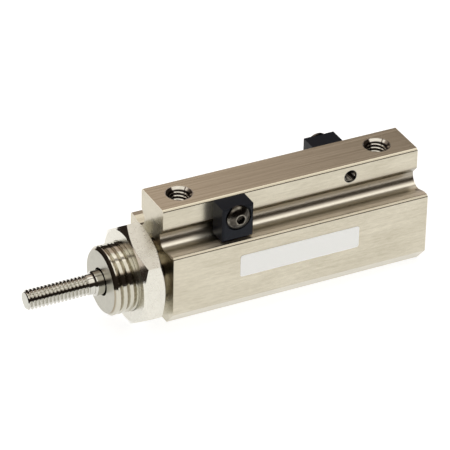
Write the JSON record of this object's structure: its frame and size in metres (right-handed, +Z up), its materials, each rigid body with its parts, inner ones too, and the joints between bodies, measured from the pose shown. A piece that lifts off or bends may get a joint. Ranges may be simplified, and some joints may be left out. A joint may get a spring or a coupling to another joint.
{
  "type": "pneumatic pin cylinder",
  "caption": "Small double-acting pneumatic pin cylinder with a threaded nose, panel nut, ported rail and switch clamps.",
  "frame": {"origin": "on the bore axis at the body's front face, where the panel seats", "axes": "+X along the bore from the rod end to the rear, so the rod moves out along -X; +Z up towards the ported rail; -Y is the side that the picture shows"},
  "size_m": [0.0832, 0.0206, 0.0267],
  "materials": {
    "body_metal": "brushed, warm clear finish",
    "plated_metal": "bright nickel plate, machined",
    "rod_steel": "ground and polished",
    "screw_steel": "zinc plate, dull",
    "clamp_plastic": "black moulded, satin",
    "inner_aluminium": "machined",
    "seal_rubber": "matt black",
    "bumper_rubber": "matt dark grey",
    "bush_bronze": "sintered bronze",
    "ring_steel": "phosphated spring steel",
    "magnet_ferrite": "sintered, matt",
    "wear_plastic": "natural nylon"
  },
  "bodies": {
    "cylinder": {"cylinder_body": "body_metal", "rod_cover": "plated_metal", "rod_cover_o_ring": "seal_rubber", "rod_seal": "seal_rubber", "seal_backing_washer": "ring_steel", "rod_bush": "bush_bronze", "front_bumper": "bumper_rubber", "rear_bumper": "bumper_rubber", "head_cover": "inner_aluminium", "head_cover_o_ring": "seal_rubber", "retaining_ring": "ring_steel", "near_switch_clamp": "clamp_plastic", "near_clamp_screw": "screw_steel", "far_switch_clamp": "clamp_plastic", "far_clamp_screw": "screw_steel"},
    "rod": {"piston_rod": "rod_steel", "piston_front": "inner_aluminium", "rod_o_ring": "seal_rubber", "piston_seal": "seal_rubber", "piston_magnet": "magnet_ferrite", "piston_rear": "inner_aluminium", "wear_ring": "wear_plastic", "piston_nut": "ring_steel"},
    "panel_nut": {"mounting_nut": "plated_metal"}
  },
  "joints": [
    {"name": "rod_slide", "type": "slide", "parent": "cylinder", "child": "rod", "axis": [-1, 0, 0], "range_m": [0, 0.03175]},
    {"name": "nut_spin", "type": "hinge", "parent": "cylinder", "child": "panel_nut", "pos_m": [0, 0, 0], "axis": [1, 0, 0], "continuous": true}
  ]
}
